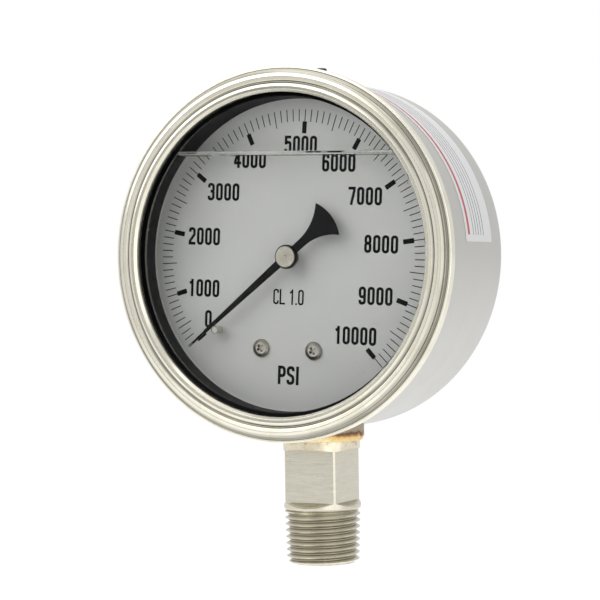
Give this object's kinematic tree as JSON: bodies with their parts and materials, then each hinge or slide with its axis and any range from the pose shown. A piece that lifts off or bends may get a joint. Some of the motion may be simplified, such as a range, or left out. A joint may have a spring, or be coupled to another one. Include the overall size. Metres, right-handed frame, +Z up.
{
  "type": "dial pressure gauge",
  "caption": "Round liquid-filled dial pressure gauge with a bottom threaded stem, a windowed steel bezel and a geared pointer moved by a coiled tube.",
  "frame": {"origin": "centre of the open end of the pipe thread", "axes": "+Z up the stem, -Y out of the dial, +X to the right of someone facing the dial"},
  "size_m": [0.1038, 0.0463, 0.1412],
  "materials": {
    "case_steel": "satin, fine turned grain",
    "bezel_steel": "bright satin, spun round the axis",
    "window_glass": "clear",
    "black_rubber": "matte",
    "plug_rubber": "matte",
    "label_white": "white film",
    "stem_steel": "turned and milled",
    "weld_steel": "heat tinted",
    "tube_steel": "drawn",
    "movement_brass": "stamped",
    "bush_bronze": "turned",
    "screw_steel": "turned",
    "spring_steel": "fine",
    "dial_white": "matte white",
    "pointer_black": "satin black"
  },
  "bodies": {
    "case": {"case_shell": "case_steel", "bezel_ring": "bezel_steel", "window_pane": "window_glass", "window_gasket": "black_rubber", "fill_plug": "plug_rubber", "case_label": "label_white", "socket": "stem_steel", "weld_bead": "weld_steel", "port_restrictor": "movement_brass", "passage_plug": "stem_steel", "bourdon_tube": "tube_steel", "movement_rear_plate": "movement_brass", "movement_front_plate": "movement_brass", "movement_pillars": "movement_brass", "plate_screws": "screw_steel", "movement_screws": "screw_steel", "arbor_bushes": "bush_bronze", "hairspring_stud": "movement_brass", "hairspring": "spring_steel", "dial": "dial_white", "dial_posts": "movement_brass", "dial_screws": "screw_steel", "zero_stop_pin": "screw_steel"},
    "pointer": {"pointer": "pointer_black", "pointer_hub": "screw_steel", "pinion_arbor": "screw_steel", "hairspring_collet": "movement_brass"},
    "sector": {"sector_gear": "movement_brass", "sector_arbor": "screw_steel", "tail_pin": "screw_steel"},
    "link": {"link_bar": "tube_steel"},
    "tube_tip": {"tube_end_cap": "tube_steel", "tip_rivet": "screw_steel"}
  },
  "joints": [
    {"name": "pointer_turn", "type": "hinge", "parent": "case", "child": "pointer", "pos_m": [0, -0.0164, 0.0869], "axis": [0, 1, 0], "range_deg": [0, 266], "stiffness_Nm_per_rad": 0.002, "deforming": ["hairspring"]},
    {"name": "sector_swing", "type": "hinge", "parent": "case", "child": "sector", "pos_m": [-0.01485, -0.0085, 0.07205], "axis": [0, 1, 0], "range_deg": [-29.61, 0]},
    {"name": "link_swing", "type": "hinge", "parent": "sector", "child": "link", "pos_m": [-0.02181, -0.0066, 0.07276], "axis": [0, 1, 0], "range_deg": [0, 29.64]},
    {"name": "tube_tip_swing", "type": "hinge", "parent": "case", "child": "tube_tip", "pos_m": [0, 0.0013, 0.0869], "axis": [0, 1, 0], "range_deg": [-8.58, 0], "deforming": ["bourdon_tube"]}
  ],
  "couplings": [
    {"joint": "sector_swing", "follows": "pointer_turn", "ratio": -0.11111},
    {"joint": "link_swing", "follows": "pointer_turn", "ratio": 0.11123},
    {"joint": "tube_tip_swing", "follows": "pointer_turn", "ratio": -0.032077}
  ]
}
